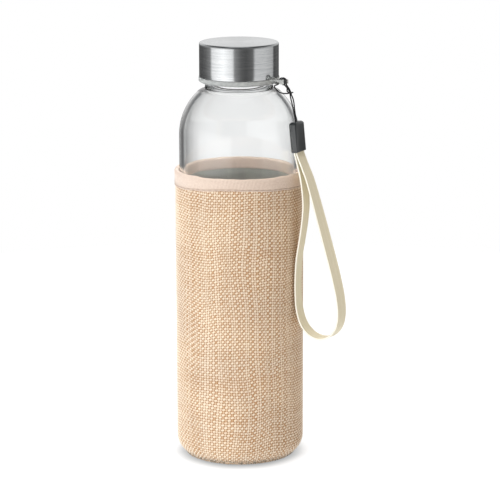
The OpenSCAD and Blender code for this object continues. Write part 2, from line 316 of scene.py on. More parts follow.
cord_bm = capped(laid("cord", CORD_SIDES, len(cord_line) - 1, on_cord, wrap=True))
hanging_cord = piece("hanging_cord", cord_bm, cord_black, None, "cord", "strap_cord")
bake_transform(hanging_cord)

# ---- Wrist strap
# Cream ribbed tape with a firm selvedge on both edges, doubled into a loop whose two ends are
# gripped in the clip. Its limbs turn a few degrees out of the clip's plane as they hang.
strap_route = [
    [5.35, 0, -27.5], [5.7, 0, -31], [6.05, 0, -34.6], [7.4, 0, -40], [9.2, 0, -47], [10.4, 0, -55],
    [10.8, 0, -63], [10, 0, -72], [8.4, 0, -82], [6.9, 0, -91], [6.35, 0, -100], [6.35, 0, -109],
    [7.2, 0, -118], [9.8, 0, -125.5], [14.6, 0, -130.4], [20.6, 0, -132], [26.2, 0, -130], [30.2, 0, -125],
    [31.6, 0, -118], [30.8, 0, -109], [28.5, 0, -99], [25.8, 0, -89.5], [22.8, 0, -79.5], [19.6, 0, -69],
    [16.2, 0, -58], [13, 0, -48.5], [10.6, 0, -43], [8.6, 0, -38.5], [7.15, 0, -34.6], [6.8, 0, -31],
    [6.45, 0, -27.5],
]
STRAP_W = 8.0 * MM
STRAP_T = 1.0 * MM
RIB_PITCH = 1.0 * MM
# half a section, as shares of half the width and half the thickness, and how far the ribs show
strap_section = [(1.0, 0.0, 1.0), (0.99, 0.6, 1.0), (0.965, 0.95, 0.8), (0.92, 1.0, 0.6), (0.88, 0.8, 0.5),
                 (0.6, 0.76, 1.0), (0.3, 0.76, 1.0), (0.0, 0.76, 1.0)]
quarter = strap_section[:-1]
around_strap = (strap_section + [(-x, y, r) for x, y, r in reversed(quarter)]
                + [(-x, -y, r) for x, y, r in strap_section[1:]]
                + [(x, -y, r) for x, y, r in reversed(strap_section[1:-1])])
strap_line = [from_eyelet @ p for p in flowing(strap_route, 36)]
strap_heading, strap_travel = walk(strap_line)
strap_across = from_eyelet.to_3x3() @ Vector((0, 1, 0))
strap_across.normalize()
INNER_TURN, OUTER_TURN = math.radians(5), math.radians(-8)


def on_strap(column, row):
    """Flat tape with cross ribs on both faces."""
    share = strap_travel[row] / strap_travel[-1]
    limb = math.sin(math.tau * min(max((share - 0.06) / 0.88, 0.0), 1.0))
    turn = INNER_TURN * max(limb, 0.0) + OUTER_TURN * max(-limb, 0.0)
    heading = strap_heading[row]
    width = Matrix.Rotation(turn, 3, "Z") @ strap_across
    width = (width - width.dot(heading) * heading).normalized()
    x, y, shows = around_strap[column]
    rib = 0.5 + 0.5 * math.cos(math.tau * strap_travel[row] / RIB_PITCH)
    thick = STRAP_T / 2 * y * (1 - 0.16 * shows * (1 - rib))
    wide = STRAP_W / 2 * x * (1 - 0.035 * (1 - rib) * (abs(x) > 0.95))
    return strap_line[row] + width * wide + heading.cross(width) * thick


strap_cream, shade, wire = finish("strap_cream", Roughness=0.8, Specular_IOR_Level=0.25, Sheen_Weight=0.25)
threads = place_on(shade, 2)
across, along, _ = threads.parts()
columns = len(around_strap)
face = (across * (2.0 / columns)).fract()
# both edges of the tape are painted whiter: a painted highlight along the selvedge
selvedge_highlight = abs(face - 0.5).over(0.36, 0.42)
weave = (across * 2.4).sin() * 0.5 + 0.5
slub = threads.stretched(0.6, 0.05, 1.0).noise(2.0, 3.0)
tone = selvedge_highlight.blend((0.89, 0.83, 0.64), (0.98, 0.965, 0.9))
wire(Base_Color=(slub * 0.5 + weave * 0.25).over(0.15, 0.85).blend(tone.tinted((0.93, 0.92, 0.89)), tone),
     Normal=(weave * 0.6 + slub * 0.6).bump(0.00006, 0.6))

strap_bm = capped(laid("strap", columns, len(strap_line) - 1, on_strap, wrap=True))
wrist_strap = piece("wrist_strap_tape", strap_bm, strap_cream, "strap", "strap", "wrist_strap")


# ---- Clip
# Two moulded halves of black plastic, pressed together over the ends of the cord and the strap.
def merged(node):
    """A copy of a CAD node's mesh with its points joined and its flats whole."""
    bm = bmesh.new()
    bm.from_mesh(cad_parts[node].data)
    bmesh.ops.remove_doubles(bm, verts=bm.verts, dist=1e-6)
    bmesh.ops.dissolve_limit(bm, angle_limit=math.radians(0.5), verts=bm.verts, edges=bm.edges)
    return bm


def eased(bm, width, segments=3, skip=lambda edge: False):
    """The same with its hard edges rounded over."""
    sharp = [e for e in bm.edges if len(e.link_faces) == 2 and e.calc_face_angle(0) > math.radians(32)
             and not skip(e)]
    bmesh.ops.bevel(bm, geom=sharp, offset=width, segments=segments, affect="EDGES", profile=0.5,
                    material=-1, clamp_overlap=True)
    return bm


CLIP_LEAN = math.radians(5.7)
clip_middle = from_eyelet @ Vector((6.6, 0, -34.6))
clip_out = (from_eyelet.to_3x3() @ Vector((math.cos(CLIP_LEAN), 0, math.sin(CLIP_LEAN)))).normalized()


def at_parting(edge):
    """Whether an edge touches the plane where the clip's halves meet, or its pocket."""
    return any(abs((v.co - clip_middle).dot(clip_out)) < 1.2 * MM for v in edge.verts)


clip_black, shade, wire = finish("clip_black", Specular_IOR_Level=0.9, Coat_Weight=0.6, Coat_Roughness=0.12)
place = place_on(shade, 3)
grain = place.noise(2600.0, 3.0, 0.6)
scuff = place.stretched(1.0, 1.0, 0.25).noise(700.0, 4.0, 0.65)
wire(Base_Color=scuff.over(0.35, 0.75).blend((0.009, 0.012, 0.013), (0.02, 0.025, 0.027)),
     Roughness=(scuff * 0.3 + 0.2), Normal=grain.bump(0.00004, 0.5))
for node in ("clip_back", "clip_front"):
    half_bm = eased(merged(node), 0.8 * MM, 5, at_parting)
    half = piece(node + "_moulding", half_bm, clip_black, "strap", "clip", node, crease=40)


# ---- Steel cap shell
# A cup drawn from stainless sheet, brushed round its side and in rings on its top, pressed over
# the threaded insert. Its rim is cut square and its top edge is rolled over.
class Outline:
    """Half the outline of a turned piece, drawn with straight runs and arcs, then spun."""

    def __init__(self, r, z):
        self.bm = bmesh.new()
        self.tip = self.bm.verts.new((r * MM, 0.0, z * MM))

    def to(self, r, z, steps=1):
        """A straight run in one or more steps."""
        start = self.tip.co.copy()
        for i in range(steps):
            self.tip = bmesh.ops.extrude_vert_indiv(self.bm, verts=[self.tip])["verts"][0]
            self.tip.co = start.lerp(Vector((r * MM, 0.0, z * MM)), (i + 1) / steps)
        return self

    def arc(self, r, z, degrees, steps=8):
        """An arc about a centre, turning from +r towards +z when positive."""
        spun = bmesh.ops.spin(self.bm, geom=[self.tip], cent=(r * MM, 0.0, z * MM), axis=(0.0, -1.0, 0.0),
                              angle=math.radians(degrees), steps=steps, use_duplicate=False)
        self.tip = spun["geom_last"][0]
        return self

    def turned(self, segments=192):
        bmesh.ops.spin(self.bm, geom=self.bm.verts[:] + self.bm.edges[:], cent=(0, 0, 0), axis=(0, 0, 1),
                       angle=math.tau, steps=segments, use_merge=True, use_duplicate=False)
        bmesh.ops.remove_doubles(self.bm, verts=self.bm.verts, dist=JOIN)
        flat = [f for f in self.bm.faces if f.calc_area() < 1e-14]
        bmesh.ops.delete(self.bm, geom=flat, context="FACES")
        bmesh.ops.recalc_face_normals(self.bm, faces=self.bm.faces)
        return self.bm


SHELL_R, SHELL_WALL, SHELL_BOTTOM, SHELL_TOP, SHELL_ROUND = 20.63, 0.5, 202.2, 220.0, 1.0
shell = Outline(0, SHELL_TOP).to(SHELL_R - 1.9, SHELL_TOP, 6).to(SHELL_R - SHELL_ROUND, SHELL_TOP)
shell.arc(SHELL_R - SHELL_ROUND, SHELL_TOP - SHELL_ROUND, -90, 6)
shell.to(SHELL_R, SHELL_TOP - 1.6).to(SHELL_R, SHELL_BOTTOM + 0.3, 6).to(SHELL_R - 0.08, SHELL_BOTTOM)
shell.to(SHELL_R - SHELL_WALL, SHELL_BOTTOM).to(SHELL_R - SHELL_WALL, SHELL_TOP - SHELL_WALL - 0.4)
shell.to(SHELL_R - SHELL_WALL - 0.4, SHELL_TOP - SHELL_WALL).to(0, SHELL_TOP - SHELL_WALL)

# how much a brush line's angle counts against its height, so that the lines run long
BRUSH_STRETCH = 0.0009
brushed, shade, wire = finish("brushed_steel", Metallic=1.0, Anisotropic=0.7, Anisotropic_Rotation=0.25)
place = place_on(shade, 3)
x, y, z = place.parts()
radius = (x * x + y * y).math("SQRT")
angle = y.math("ARCTAN2", x)
on_top = z.over((SHELL_TOP - 0.45) * MM, (SHELL_TOP - 0.25) * MM)
height = z * (1 - on_top) + radius * on_top
scratch_at = place.node("CombineXYZ", {}, {0: angle * BRUSH_STRETCH, 1: height, 2: on_top})
fine = scratch_at.noise(9000.0, 2.0, 0.7)
coarse = scratch_at.stretched(0.7, 1.0, 1.0).noise(1900.0, 3.0, 0.6)
wide = scratch_at.stretched(1.6, 1.0, 1.0).noise(850.0, 3.0, 0.55)
lines = fine * 0.3 + coarse * 0.4 + wide * 0.3
wire(Base_Color=lines.over(0.34, 0.66).blend((0.53, 0.545, 0.555), (0.74, 0.75, 0.755)),
     Roughness=lines * 0.14 + 0.09,
     Normal=lines.bump(0.00002, 0.2))
piece("steel_shell", shell.turned(), brushed, "cap", "steel", "cap_shell", crease=25)

# ---- Cap insert, its seal, and the strap ring
# Translucent grey moulded plastic: the insert carries the thread and has a lip below that holds
# the ring; the ring turns on it and ends in the eyelet. The seal is a soft white disc.
milky, shade, wire = finish("milky_plastic", Roughness=0.36, IOR=1.46, Transmission_Weight=0.35,
                            Subsurface_Weight=0.2, Subsurface_Radius=(0.004, 0.004, 0.004))
place = place_on(shade, 3)
cloud = place.noise(420.0, 3.0, 0.6)
wire(Base_Color=cloud.over(0.3, 0.8).blend((0.5, 0.52, 0.52), (0.68, 0.7, 0.69)),
     Normal=place.noise(1500.0, 2.0).bump(0.00003, 0.5))
insert_bm = eased(merged("cap_insert"), 0.06 * MM, 2)
piece("cap_insert_moulding", insert_bm, milky, "cap", "cap_plastic", "cap_insert", crease=35)
ring_bm = eased(merged("strap_ring"), 0.14 * MM, 3)
piece("ring_moulding", ring_bm, milky, "ring", "cap_plastic", "strap_ring", crease=35)

silicone, shade, wire = finish("seal_silicone", Roughness=0.55, Subsurface_Weight=0.3,
                               Subsurface_Radius=(0.003, 0.003, 0.003))
place = place_on(shade, 3)
speck = place.noise(1800.0, 3.0)
wire(Base_Color=speck.over(0.3, 0.7).blend((0.74, 0.74, 0.72), (0.84, 0.84, 0.82)),
     Normal=speck.bump(0.00003, 0.4))
SEAL_R, SEAL_BOTTOM, SEAL_TOP = 18.7, 216.8, 218.3
seal = Outline(0, SEAL_TOP).to(SEAL_R - 0.05, SEAL_TOP).to(SEAL_R - 0.05, SEAL_BOTTOM + 0.2)
seal.to(SEAL_R - 0.25, SEAL_BOTTOM).to(12.6, SEAL_BOTTOM).to(12.3, SEAL_BOTTOM + 0.3).to(0, SEAL_BOTTOM + 0.3)
piece("seal_disc", seal.turned(128), silicone, "cap", "seal", "cap_seal", crease=35)

# ---- Glass bottle
# Blown clear glass with a thick base, a round shoulder and a short neck. The lip is fire-polished
# and the screw thread is moulded on the neck above the ring.
GLASS_R, GLASS_WALL, GLASS_FLOOR, GLASS_CORNER = 31.3, 2.4, 1.75, 7.5
SHOULDER_Z, NECK_R, MOUTH_R, FINISH_R, LIP_Z = 171.39, 17.7, 15.3, 17.2, 216.8
INSIDE_FLOOR = GLASS_FLOOR + 4.5
INSIDE_CORNER = GLASS_CORNER - GLASS_WALL
# the shoulder's sphere turns flatter at a crown, and a small fillet joins the crown to the neck
CROWN_TURN, CROWN_R, FILLET = 46.6, 5.0, 1.0
crown_r = (GLASS_R - CROWN_R) * math.cos(math.radians(CROWN_TURN))
crown_z = SHOULDER_Z + (GLASS_R - CROWN_R) * math.sin(math.radians(CROWN_TURN))
fillet_r = NECK_R + FILLET
fillet_turn = math.degrees(math.acos((fillet_r - crown_r) / (CROWN_R + FILLET)))
fillet_z = crown_z + math.sqrt((CROWN_R + FILLET) ** 2 - (fillet_r - crown_r) ** 2)
INNER_FILLET = 5.0
inner_r = GLASS_R - GLASS_WALL
inner_fillet_r = MOUTH_R + INNER_FILLET
inner_up = math.sqrt((inner_r + INNER_FILLET) ** 2 - inner_fillet_r ** 2)
inner_turn = math.degrees(math.atan2(inner_up, inner_fillet_r))
LIP_ROUND = 0.6
# the neck narrows to the threaded finish between these two heights
NECK_TOP, FINISH_FOOT = 200.6, 201.0

glass = Outline(0, GLASS_FLOOR + 1.2).to(14, GLASS_FLOOR + 1.0, 5).to(21.5, GLASS_FLOOR + 0.15, 3)
glass.to(GLASS_R - GLASS_CORNER, GLASS_FLOOR)
glass.arc(GLASS_R - GLASS_CORNER, GLASS_FLOOR + GLASS_CORNER, 90, 12)
glass.to(GLASS_R, SHOULDER_Z, 24).arc(0, SHOULDER_Z, CROWN_TURN, 24)
glass.arc(crown_r, crown_z, fillet_turn - CROWN_TURN, 10)
glass.arc(fillet_r, fillet_z, -fillet_turn, 8)
glass.to(NECK_R, NECK_TOP).arc(NECK_R - 0.4, NECK_TOP, 90, 3).to(FINISH_R, FINISH_FOOT)
glass.to(FINISH_R, LIP_Z - LIP_ROUND, 8).arc(FINISH_R - LIP_ROUND, LIP_Z - LIP_ROUND, 90, 5)
glass.to(MOUTH_R + LIP_ROUND, LIP_Z).arc(MOUTH_R + LIP_ROUND, LIP_Z - LIP_ROUND, 90, 5)
glass.to(MOUTH_R, SHOULDER_Z + inner_up, 6)
glass.arc(inner_fillet_r, SHOULDER_Z + inner_up, inner_turn, 8)
glass.arc(0, SHOULDER_Z, -inner_turn, 28)
glass.to(inner_r, INSIDE_FLOOR + INSIDE_CORNER, 24)
glass.arc(inner_r - INSIDE_CORNER, INSIDE_FLOOR + INSIDE_CORNER, -90, 12)
glass.to(12, INSIDE_FLOOR + 0.5, 5).to(0, INSIDE_FLOOR + 0.7, 3)

clear, shade, wire = finish("clear_glass", Roughness=0.0, IOR=1.47, Transmission_Weight=1.0)
place = place_on(shade, 3)
ripple = place.stretched(1.0, 1.0, 0.35).noise(60.0, 2.0, 0.5)
wire(Base_Color=ripple.over(0.2, 0.8).blend((0.972, 0.98, 0.98), (0.988, 0.992, 0.992)),
     Normal=ripple.bump(0.0002, 0.05))
glass_bm = glass.turned(224)

# the thread is a ridge of one and a half turns that fades out at both ends
THREAD_Z, THREAD_PITCH, THREAD_TURNS, THREAD_STEPS = 205.2, 4.2, 1.5, 108
CREST_R, FOOT_HALF, CREST_HALF, BURIED = FINISH_R + 1.2, 0.8, 0.4, 0.2
ridge = [(FINISH_R - BURIED, -FOOT_HALF), (CREST_R, -CREST_HALF),
         (CREST_R, CREST_HALF), (FINISH_R - BURIED, FOOT_HALF)]
corners = [glass_bm.verts.new((r * MM, 0.0, (THREAD_Z + up) * MM)) for r, up in ridge]
sides = [glass_bm.edges.new((corners[i - 1], corners[i])) for i in range(4)]
bmesh.ops.spin(glass_bm, geom=corners + sides, cent=(0, 0, 0), axis=(0, 0, 1), use_duplicate=False,
               dvec=(0, 0, THREAD_PITCH * THREAD_TURNS / THREAD_STEPS * MM),
               angle=math.tau * THREAD_TURNS, steps=THREAD_STEPS)
bmesh.ops.holes_fill(glass_bm, edges=[e for e in glass_bm.edges if e.is_boundary], sides=4)
for v in glass_bm.verts:
    out = math.hypot(v.co.x, v.co.y) / MM
    if out > FINISH_R + 0.9 and v.co.z > (THREAD_Z - 1) * MM:
        turn = math.atan2(v.co.y, v.co.x) / math.tau
        turn += round((v.co.z / MM - THREAD_Z) / THREAD_PITCH - turn)
        fade = min(1.0, 0.1 + min(turn, THREAD_TURNS - turn) * 12)
        shrink = (FINISH_R + (out - FINISH_R) * fade) / out
        v.co.x, v.co.y = v.co.x * shrink, v.co.y * shrink
bmesh.ops.recalc_face_normals(glass_bm, faces=glass_bm.faces)
piece("glass_body", glass_bm, clear, "bottle", "glass", "glass_bottle", crease=40)

# ---- Sleeve lining
# Thin grey knit over foam, round the wall and under the glass. It shows through the glass below
# the fold of the binding.
LINING_R, LINING_T, LINING_TOP, COVER_T, BASE_R = 31.6, 0.8, 153.0, 0.95, 23.8
INSIDE_BEND, OUTSIDE_BEND = 7.8, 8.6
# the lining steps out under the binding's inner fold, between these two heights
STEP, STEP_LOW, STEP_HIGH = 0.47, 147.6, 147.9
lining = Outline(0, COVER_T + LINING_T).to(BASE_R, COVER_T + LINING_T, 8)
lining.arc(BASE_R, COVER_T + LINING_T + INSIDE_BEND, 90, 10).to(LINING_R, STEP_LOW, 40)
lining.to(LINING_R + STEP, STEP_HIGH).to(LINING_R + STEP, LINING_TOP).to(LINING_R + LINING_T, LINING_TOP)
lining.to(LINING_R + LINING_T, COVER_T + OUTSIDE_BEND, 2)
lining.arc(BASE_R, COVER_T + OUTSIDE_BEND, -90, 10).to(0, COVER_T, 3)
lining_grey, shade, wire = finish("lining_grey", Roughness=0.9, Specular_IOR_Level=0.2, Sheen_Weight=0.3)
place = place_on(shade, 3)
x, y, z = place.parts()
angle = y.math("ARCTAN2", x)
stitch = (angle * 210.0).sin() * (z * 7000.0).sin()
patch = place.stretched(1.0, 1.0, 0.6).noise(90.0, 4.0, 0.6)
wire(Base_Color=(patch * 0.8 + stitch * 0.12).over(0.15, 0.75).blend((0.3, 0.305, 0.27), (0.46, 0.46, 0.42)),
     Normal=(stitch * 0.5 + place.noise(900.0, 3.0)).bump(0.0001, 0.6))
lining_cloth = piece("lining_cloth", lining.turned(160), lining_grey, "sleeve", "lining",
                     "sleeve_lining", "base_lining")

# ---- Woven cover
# Coarse plain weave of thick slubby yarn, pulled tight round the sleeve and turned under at the
# bottom to the base seam. The yarns wander: they lean and wave where the cloth was stretched.
COVER_R = 33.35
COVER_CORNER = 9.55
COVER_TOP = 153.2
WARPS, PER_YARN = 162, 2
COVER_COLUMNS = WARPS * PER_YARN
YARN = math.tau * COVER_R / WARPS
WEFT_PITCH = 1.36
wall_run = COVER_TOP - COVER_CORNER
corner_run = math.pi / 2 * COVER_CORNER
WEFTS = round((wall_run + corner_run) / WEFT_PITCH)
COVER_ROWS = WEFTS * PER_YARN
random.seed(11)
warp_weight = [random.uniform(0.75, 1.2) for _ in range(WARPS)]
weft_weight = [random.uniform(0.75, 1.2) for _ in range(WEFTS + 1)]


def wander(column, row):
    """How far the yarns drift round the sleeve (radians) and along it (mm) at a crossing."""
    turn = math.tau * column / COVER_COLUMNS
    up = row / COVER_ROWS
    fade = min(1.0, 6 * up, 6 * (1 - up))
    at = Vector((math.cos(turn), math.sin(turn), 1.6 * up))
    lean = noise.noise(at * 1.5 + Vector((7, 2, 5))) * 2.2 + noise.noise(at * 4 + Vector((1, 9, 3))) * 0.9
    sag = noise.noise(at * 1.3 + Vector((3, 3, 8))) * 2.6 + noise.noise(at * 3.5 + Vector((6, 1, 1))) * 0.9
    return YARN * lean * fade / COVER_R, YARN * sag * fade


def relief(column, row):
    """Height of the cloth over its middle, in mm: crossings stand up and the corners sink."""
    odd_column, odd_row = column % PER_YARN, row % PER_YARN
    warp = warp_weight[(column // PER_YARN) % WARPS]
    weft = weft_weight[min(row // PER_YARN, WEFTS)]
    if odd_column and odd_row:
        warp_over = (column // PER_YARN + row // PER_YARN) % 2 == 0
        return 0.28 * warp if warp_over else 0.02 * weft
    if odd_column or odd_row:
        return -0.06
    return -0.3


def on_cover(column, row):
    drift, lift = wander(column, row)
    turn = math.tau * column / COVER_COLUMNS + drift
    run = (wall_run + corner_run) * (1 - row / COVER_ROWS) + lift
    run = min(max(run, 0.0), wall_run + corner_run)
    high = relief(column, row)
    hem = max(0.0, (run - wall_run) / corner_run - 0.45)
    high += hem * 1.6 * noise.noise(Vector((math.cos(turn) * 45, math.sin(turn) * 45, run * 1.4)))
    if run <= wall_run:
        r, z = COVER_R + high, COVER_TOP - run
    else:
        bend = (run - wall_run) / COVER_CORNER
        r = COVER_R - COVER_CORNER + (COVER_CORNER + high) * math.cos(bend)
        z = max(COVER_CORNER - (COVER_CORNER + high) * math.sin(bend), 0.0)
    return Vector((r * math.cos(turn), r * math.sin(turn), z)) * MM


def jute(name, per_yarn):
    """Plain weave from the UV map, whose whole numbers are grid lines: which yarn is on top, its
    roundness with a painted highlight, the open corners with painted shade, and each yarn's own tone."""
    material, shade, wire = finish(name, Roughness=0.88, Specular_IOR_Level=0.2, Sheen_Weight=0.2)
    threads = place_on(shade, 2)
    u, v, _ = threads.stretched(1.0 / per_yarn, 1.0 / per_yarn, 1.0).parts()
    fuzz = threads.noise(1.6, 4.0, 0.65)
    u = u + (fuzz - 0.5) * 0.18
    v = v + (fuzz - 0.5) * 0.14
    column, row = u.floor(), v.floor()
    over = ((column + row) * 0.5).fract().over(0.2, 0.3)
    right, up = u.fract() - 0.5, v.fract() - 0.5
    a, b = abs(right - up * (1 - over) * 0.42), abs(up - right * over * 0.42)
    side = a * over + b * (1 - over)
    end = b * over + a * (1 - over)
    which_yarn = shade.node("CombineXYZ", {}, {0: column * over + 0.37, 1: row * (1 - over)})
    yarn = shade.node("TexWhiteNoise", {"noise_dimensions": "2D"}, {"Vector": which_yarn})
    along_yarn = shade.node("CombineXYZ", {}, {0: u * over * 0.35 + column * 3.1,
                                               1: v * 0.35 + row * (1 - over) * 3.1})
    slub = along_yarn.noise(1.7, 2.0)
    thick = slub * 0.16 + 0.34
    # the middle of each float: raised by the bump and painted lighter, a painted highlight
    crown_shape_and_highlight = (1 - side * side * 4.0) * (1 - end * end * 1.5)
    # the open corners between yarns: sunk by the bump and painted dark brown, a painted shade
    open_corner_and_shade = side.over(0.28, 0.42) * end.over(0.24, 0.4)
    warp_over = 1 - over
    each = shade.node("TexWhiteNoise", {"noise_dimensions": "2D"},
                      {"Vector": shade.node("CombineXYZ", {}, {0: column, 1: row})})
    # how light each point is: the yarns' own tones, plus the painted highlight on the crowns and the painted
    # shade in the open corners
    light = (crown_shape_and_highlight * 0.62 + yarn * 0.32 + each * 0.16 + slub * 0.32 - open_corner_and_shade * 0.9 + thick * 0.2
             + warp_over * 0.42 - 0.28)
    patch = place_on(shade, 3).noise(38.0, 3.0)
    body = light.over(0.25, 1.15).blend((0.53, 0.27, 0.104), (0.97, 0.825, 0.645))
    # painted shade: the open corners take a dark brown
    deep = open_corner_and_shade.blend(body, (0.32, 0.138, 0.042))
    # darker grey-brown flecks below 4.5 mm, on the lower edge of the wall and on the whole base disc
    height = place_on(shade, 3).parts()[2]
    darker_near_ground = height.over(0.0045, 0.0015) * place_on(shade, 3).noise(900.0, 2.0).over(0.45, 0.62)
    deep = darker_near_ground.blend(deep, (0.3, 0.26, 0.21))
    wire(Base_Color=patch.over(0.3, 0.75).blend(
            deep, deep.tinted((0.9, 0.9, 0.92))),
         Normal=(crown_shape_and_highlight * 0.7 - open_corner_and_shade * 0.5 + fuzz * 0.35).bump(0.0003, 0.8))
    return material


woven = jute("woven_jute", PER_YARN)
cover_cloth = piece("cover_cloth", laid("cover", COVER_COLUMNS, COVER_ROWS, on_cover, wrap=True), woven,
                    "sleeve", "woven_cover", "sleeve_cover")

# ---- Base disc
# A round of the same cloth that closes the bottom of the cover.
BASE_COUNT = 84
half = BASE_COUNT * YARN / 4 * MM
base_bm = bmesh.new()
bmesh.ops.create_grid(base_bm, x_segments=BASE_COUNT, y_segments=BASE_COUNT, size=half)
uv = base_bm.loops.layers.uv.new("threads")
for face in base_bm.faces:
    for loop in face.loops:
        co = loop.vert.co
        loop[uv].uv = ((co.x / half + 1) * BASE_COUNT / 2, (co.y / half + 1) * BASE_COUNT / 2)
outside = [v for v in base_bm.verts if v.co.length > (BASE_R + 0.9) * MM]
bmesh.ops.delete(base_bm, geom=outside, context="VERTS")
for v in base_bm.verts:
    i, j = round((v.co.x / half + 1) * BASE_COUNT / 2), round((v.co.y / half + 1) * BASE_COUNT / 2)
    v.co.z = (0.2 - (0.15 if i % 2 and j % 2 else 0.0) + (0.15 if not i % 2 and not j % 2 else 0.0)) * MM
base_disc = piece("base_disc", base_bm, woven, "sleeve", "woven_cover", "sleeve_base")

# ---- Base seam
# The overlocked edge where the wall's cloth meets the base disc: short slanting loops of thread
# over a folded edge, standing a little out of the rounded corner.
SEAM_R, SEAM_T = 28.6, 1.3
SEAM_LOOPS, PER_LOOP, SEAM_SIDES = 150, 4, 12
seam_out = SEAM_R - (COVER_R - COVER_CORNER)
SEAM_Z = COVER_CORNER - math.sqrt(COVER_CORNER ** 2 - seam_out ** 2)


def on_seam(column, row):
    turn = math.tau * column / (SEAM_LOOPS * PER_LOOP)
    round_it = math.tau * row / SEAM_SIDES
    whip = math.cos(math.tau * column / PER_LOOP + round_it)
    lump = noise.noise(Vector((math.cos(turn), math.sin(turn), 0)) * 26)
    thick = SEAM_T / 2 * (0.95 + 0.2 * whip + 0.3 * lump)
    r = SEAM_R + thick * math.cos(round_it)
    z = max(SEAM_Z + thick * math.sin(round_it), 0.05)
    return Vector((r * math.cos(turn), r * math.sin(turn), z)) * MM


seam_bm = laid("seam", SEAM_LOOPS * PER_LOOP, SEAM_SIDES, on_seam, wrap=True)
bmesh.ops.remove_doubles(seam_bm, verts=seam_bm.verts, dist=JOIN)
piece("base_seam_loops", seam_bm, woven, "sleeve", "woven_cover", "base_seam")

# ---- Rim binding
# Pinkish beige ribbed tape folded over the raw top edge of cover and lining. It is deeper at the
# sides than at the front and back, and its lower edge is pulled in by the stitching.
BIND_TOP, BIND_T = 153.9, 0.45
BIND_RIBS, PER_RIB = 300, 3
bind_out, bind_in = COVER_R + BIND_T, LINING_R


def bind_depth(turn):
    """Depth of the tape's outer fold, in mm; turn is from +X."""
    return 7.4 + 1.2 * math.cos(2 * turn) + 0.15 * math.sin(5 * turn + 1)


def bind_section(turn):
    """Points of the tape's outside, from its lower edge outside, over the top, to its edge inside."""
    low = BIND_TOP - bind_depth(turn)
    middle, half_gap = (bind_out + bind_in) / 2, (bind_out - bind_in) / 2
    points = [(COVER_R - 0.1, low - 0.02), (COVER_R + 0.25, low), (bind_out, low + 0.12),
              (bind_out, low + 0.4), (bind_out - 0.3, low + 0.75), (bind_out, low + 1.15)]
    for k in range(1, 8):
        points.append((bind_out + 0.05 * math.sin(math.pi * k / 8),
                       low + 1.15 + (BIND_TOP - half_gap - low - 1.15) * k / 8))
    for k in range(0, 13):
        a = math.pi * k / 12
        points.append((middle + half_gap * math.cos(a), BIND_TOP - half_gap + half_gap * math.sin(a)))
    inner_low = BIND_TOP - 6.2
    for k in range(1, 7):
        points.append((bind_in, BIND_TOP - half_gap + (inner_low - BIND_TOP + half_gap) * k / 6))
    points.append((bind_in + 0.3, inner_low - 0.05))
    return points


BIND_ROWS = len(bind_section(0)) - 1
sections = {}


def on_binding(column, row):
    turn = math.tau * column / (BIND_RIBS * PER_RIB)
    if column not in sections:
        sections[column] = bind_section(turn)
    r, z = sections[column][row]
    rib = math.cos(math.tau * column / PER_RIB)
    pull = noise.noise(Vector((math.cos(turn) * 9, math.sin(turn) * 9, row * 0.2)))
    inside = row > BIND_ROWS / 2
    r += (rib * 0.05 + pull * 0.16) * (-0.4 if inside else 1)
    z += noise.noise(Vector((math.cos(turn) * 5, math.sin(turn) * 5, 3))) * 0.35
    return Vector((r * math.cos(turn), r * math.sin(turn), z)) * MM


binding_pink, shade, wire = finish("binding_tape", Roughness=0.85, Specular_IOR_Level=0.2, Sheen_Weight=0.3)
threads = place_on(shade, 2)
around, up, _ = threads.parts()
rib = ((around + up * 0.25) * (math.tau / PER_RIB)).math("COSINE") * 0.5 + 0.5
cross = (up * 9.0).sin() * 0.5 + 0.5
mottle = threads.stretched(0.2, 0.6, 1.0).noise(1.2, 3.0)
# a darker line painted along the groove above the tape's lower edge: painted shade in the crease
crease = abs(up - 4.0).over(1.0, 0.2)
tape = (rib * 0.45 + mottle * 0.6 + cross * 0.1 - crease * 0.5).over(0.2, 0.95)
wire(Base_Color=tape.blend((0.6, 0.46, 0.37), (0.86, 0.73, 0.635)),
     Normal=(rib * 0.6 + cross * 0.3 + mottle * 0.3).bump(0.0001, 0.5))
binding_bm = laid("binding", BIND_RIBS * PER_RIB, BIND_ROWS, on_binding, wrap=True)
bmesh.ops.recalc_face_normals(binding_bm, faces=binding_bm.faces)
binding_tape = piece("binding_fold", binding_bm, binding_pink, "sleeve", "binding", "rim_binding")

# ---- Binding stitches
# One row of lockstitch through the tape, just above its lower edge, each stitch sunk at its ends.
STITCHES, STITCH_L, STITCH_T = 60, 2.3, 0.36
thread_beige, shade, wire = finish("sewing_thread", Roughness=0.7, Specular_IOR_Level=0.3)
place = place_on(shade, 3)
x, y, z = place.parts()
twist = ((y.math("ARCTAN2", x)) * 420.0 + z * 9000.0).sin() * 0.5 + 0.5
wire(Base_Color=twist.blend((0.36, 0.26, 0.21), (0.58, 0.45, 0.37)), Normal=twist.bump(0.00008, 0.6))
stitch_bm = bmesh.new()
for k in range(STITCHES):
    turn = math.tau * (k + 0.5) / STITCHES
    z = BIND_TOP - bind_depth(turn) + 0.75
    slope = (bind_depth(turn + 0.01) - bind_depth(turn - 0.01)) / 0.02 / COVER_R
    thread = bmesh.ops.create_uvsphere(stitch_bm, u_segments=8, v_segments=6, radius=0.5)["verts"]
    place_stitch = (Matrix.Rotation(turn, 4, "Z") @ Matrix.Translation(((bind_out - 0.12) * MM, 0, z * MM))
                    @ Matrix.Rotation(math.atan(-slope), 4, "X")
                    @ Matrix.Diagonal((STITCH_T * MM, STITCH_L * MM, STITCH_T * MM, 1)))
    bmesh.ops.transform(stitch_bm, matrix=place_stitch, verts=thread)
piece("lockstitches", stitch_bm, thread_beige, "sleeve", "thread", "binding_stitches")

